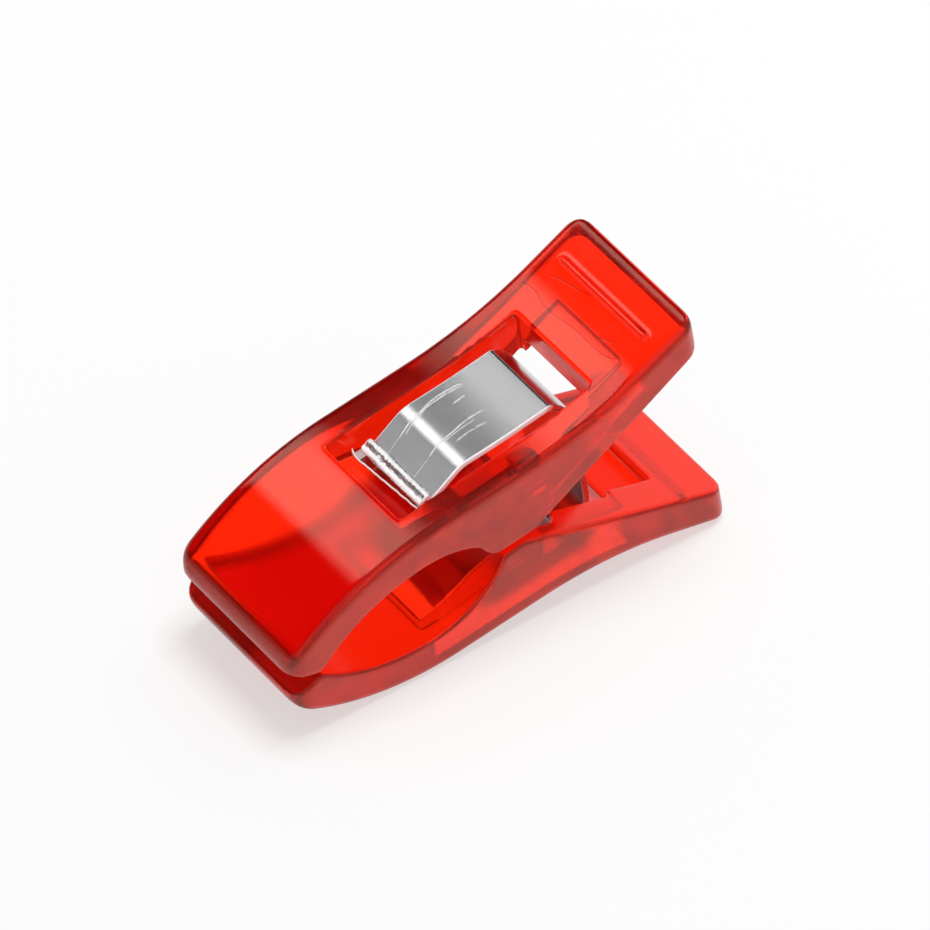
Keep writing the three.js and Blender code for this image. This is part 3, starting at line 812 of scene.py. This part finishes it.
def studio_table():
    corners = ((-1, -1), (1, -1), (1, 1), (-1, 1))
    points = [(x * TABLE_REACH, y * TABLE_REACH, -TABLE_DROP * MM) for x, y in corners]
    made = mesh_object("table", points, [(0, 1, 2, 3)])
    made.data.materials.append(table_material())
    return made


def studio_world():
    """Even light on the table and the clip, and white behind the table's edge. In reflections the room is
    dark above the clip's left side, and pale near the horizon, overhead and on its right side."""
    world = bpy.data.worlds.new("studio")
    bpy.context.scene.world = world
    world.use_nodes = True
    n = Nodes(world.node_tree)
    path = n.add("ShaderNodeLightPath")
    _, toward_left, toward_top = n.split(n.add("ShaderNodeTexCoord").outputs["Generated"])
    pale = n.math("MAXIMUM", n.range(toward_left, *PALE_LEFT, 0, 1), n.range(toward_top, *PALE_LOW, 0, 1))
    mirrored = n.math("GREATER_THAN", path.outputs["Is Glossy Ray"], path.outputs["Is Transmission Ray"])
    sky = n.add("ShaderNodeBackground")
    strength = n.total([n.math("MULTIPLY", n.math("MULTIPLY", mirrored, pale), WORLD_PALE - WORLD_DARK),
                        n.math("MULTIPLY", path.outputs["Is Diffuse Ray"], WORLD_EVEN - WORLD_DARK),
                        n.math("MULTIPLY", path.outputs["Is Transmission Ray"], WORLD_THROUGH - WORLD_DARK),
                        n.math("MULTIPLY", path.outputs["Is Camera Ray"], 1 - WORLD_DARK)])
    n.link(n.math("ADD", strength, WORLD_DARK), sky.inputs["Strength"])
    out = n.add("ShaderNodeOutputWorld")
    n.link(sky.outputs[0], out.inputs["Surface"])


def softbox(name, toward, distance, size, radiance, left=0.2, right=0.2, ends=0.2):
    """A rectangle of light in a given direction from the clip, facing it and fading towards its edges."""
    light = bpy.data.lights.new(name, "AREA")
    light.shape = "RECTANGLE"
    light.size, light.size_y = size
    light.energy = radiance * math.pi * size[0] * size[1]
    light.use_nodes = True
    n = Nodes(light.node_tree)
    across_u, across_v, _ = n.split(n.add("ShaderNodeNewGeometry").outputs["Parametric"])
    from_end = n.math("MINIMUM", across_v, n.math("SUBTRACT", 1.0, across_v))
    sides = n.math("MULTIPLY", n.range(across_u, 0, right, 0, 1), n.range(across_u, 1, 1 - left, 0, 1))
    glow = n.add("ShaderNodeEmission")
    n.link(n.math("MULTIPLY", sides, n.range(from_end, 0, ends, 0, 1)), glow.inputs["Strength"])
    out = n.add("ShaderNodeOutputLight")
    n.link(glow.outputs[0], out.inputs["Surface"])
    made = bpy.data.objects.new(name, light)
    bpy.context.scene.collection.objects.link(made)
    away = Vector(toward).normalized()
    made.location = AIM + away * distance
    made.rotation_euler = away.to_track_quat("Z", "Y").to_euler()
    return made


AZIMUTH, ELEVATION = -36.11, 44.91
FOCAL_PIXELS, PIXELS_PER_MM, PICTURE = 15000, 19.9, 930
AIM_PIXEL, SENSOR = (454.5, 475.4), 36


def studio_camera():
    camera = bpy.data.cameras.new("camera")
    camera.sensor_width = SENSOR
    camera.lens = FOCAL_PIXELS / PICTURE * camera.sensor_width
    camera.clip_start, camera.clip_end = 0.01, 20
    made = bpy.data.objects.new("camera", camera)
    bpy.context.scene.collection.objects.link(made)
    a, e = math.radians(AZIMUTH), math.radians(ELEVATION)
    back = Vector((math.sin(a) * math.cos(e), -math.cos(a) * math.cos(e), math.sin(e)))
    turn = (-back).to_track_quat("-Z", "Y")
    right, up = turn @ Vector((1, 0, 0)), turn @ Vector((0, 1, 0))
    pixel = MM / PIXELS_PER_MM
    aside = right * (PICTURE / 2 - AIM_PIXEL[0]) * pixel + up * (AIM_PIXEL[1] - PICTURE / 2) * pixel
    made.location = AIM + aside + back * FOCAL_PIXELS * pixel
    made.rotation_mode = "QUATERNION"
    made.rotation_quaternion = turn
    bpy.context.scene.camera = made


def light_only(lamp, objects):
    lit = bpy.data.collections.new("lit_by_" + lamp.name)
    for made in objects:
        lit.objects.link(made)
    lamp.light_linking.receiver_collection = lit


table = studio_table()
studio_world()
key = softbox("key", (-0.085, 0.58, 0.80), 0.6, (0.34, 0.4), 2.4, left=0.11, right=0.38, ends=0.15)
softbox("right_panel", (0.85, 0.5, 0.2), 0.3, (0.2, 0.2), 0.85)
softbox("side", (0.7, 0.1, 0.8), 0.3, (0.12, 0.12), 2.5)
left_panel = softbox("left_panel", (-0.62, 0.50, 0.60), 0.3, (0.12, 0.2), 0.7)
front_panel = softbox("front_panel", (-0.45, -0.5, 0.75), 0.3, (0.15, 0.15), 11)
table_lamp = softbox("table_lamp", (0.12, 0.0, 1.0), 0.3, (0.15, 0.15), 14.4)
light_only(key, jaws + [strip])
light_only(left_panel, [strip])
light_only(front_panel, [strip])
light_only(table_lamp, [table])
studio_camera()
bpy.context.scene.view_settings.view_transform = "Standard"
cycles = bpy.context.scene.cycles
cycles.max_bounces, cycles.glossy_bounces = 24, 16
cycles.transmission_bounces, cycles.transparent_max_bounces = 24, 16
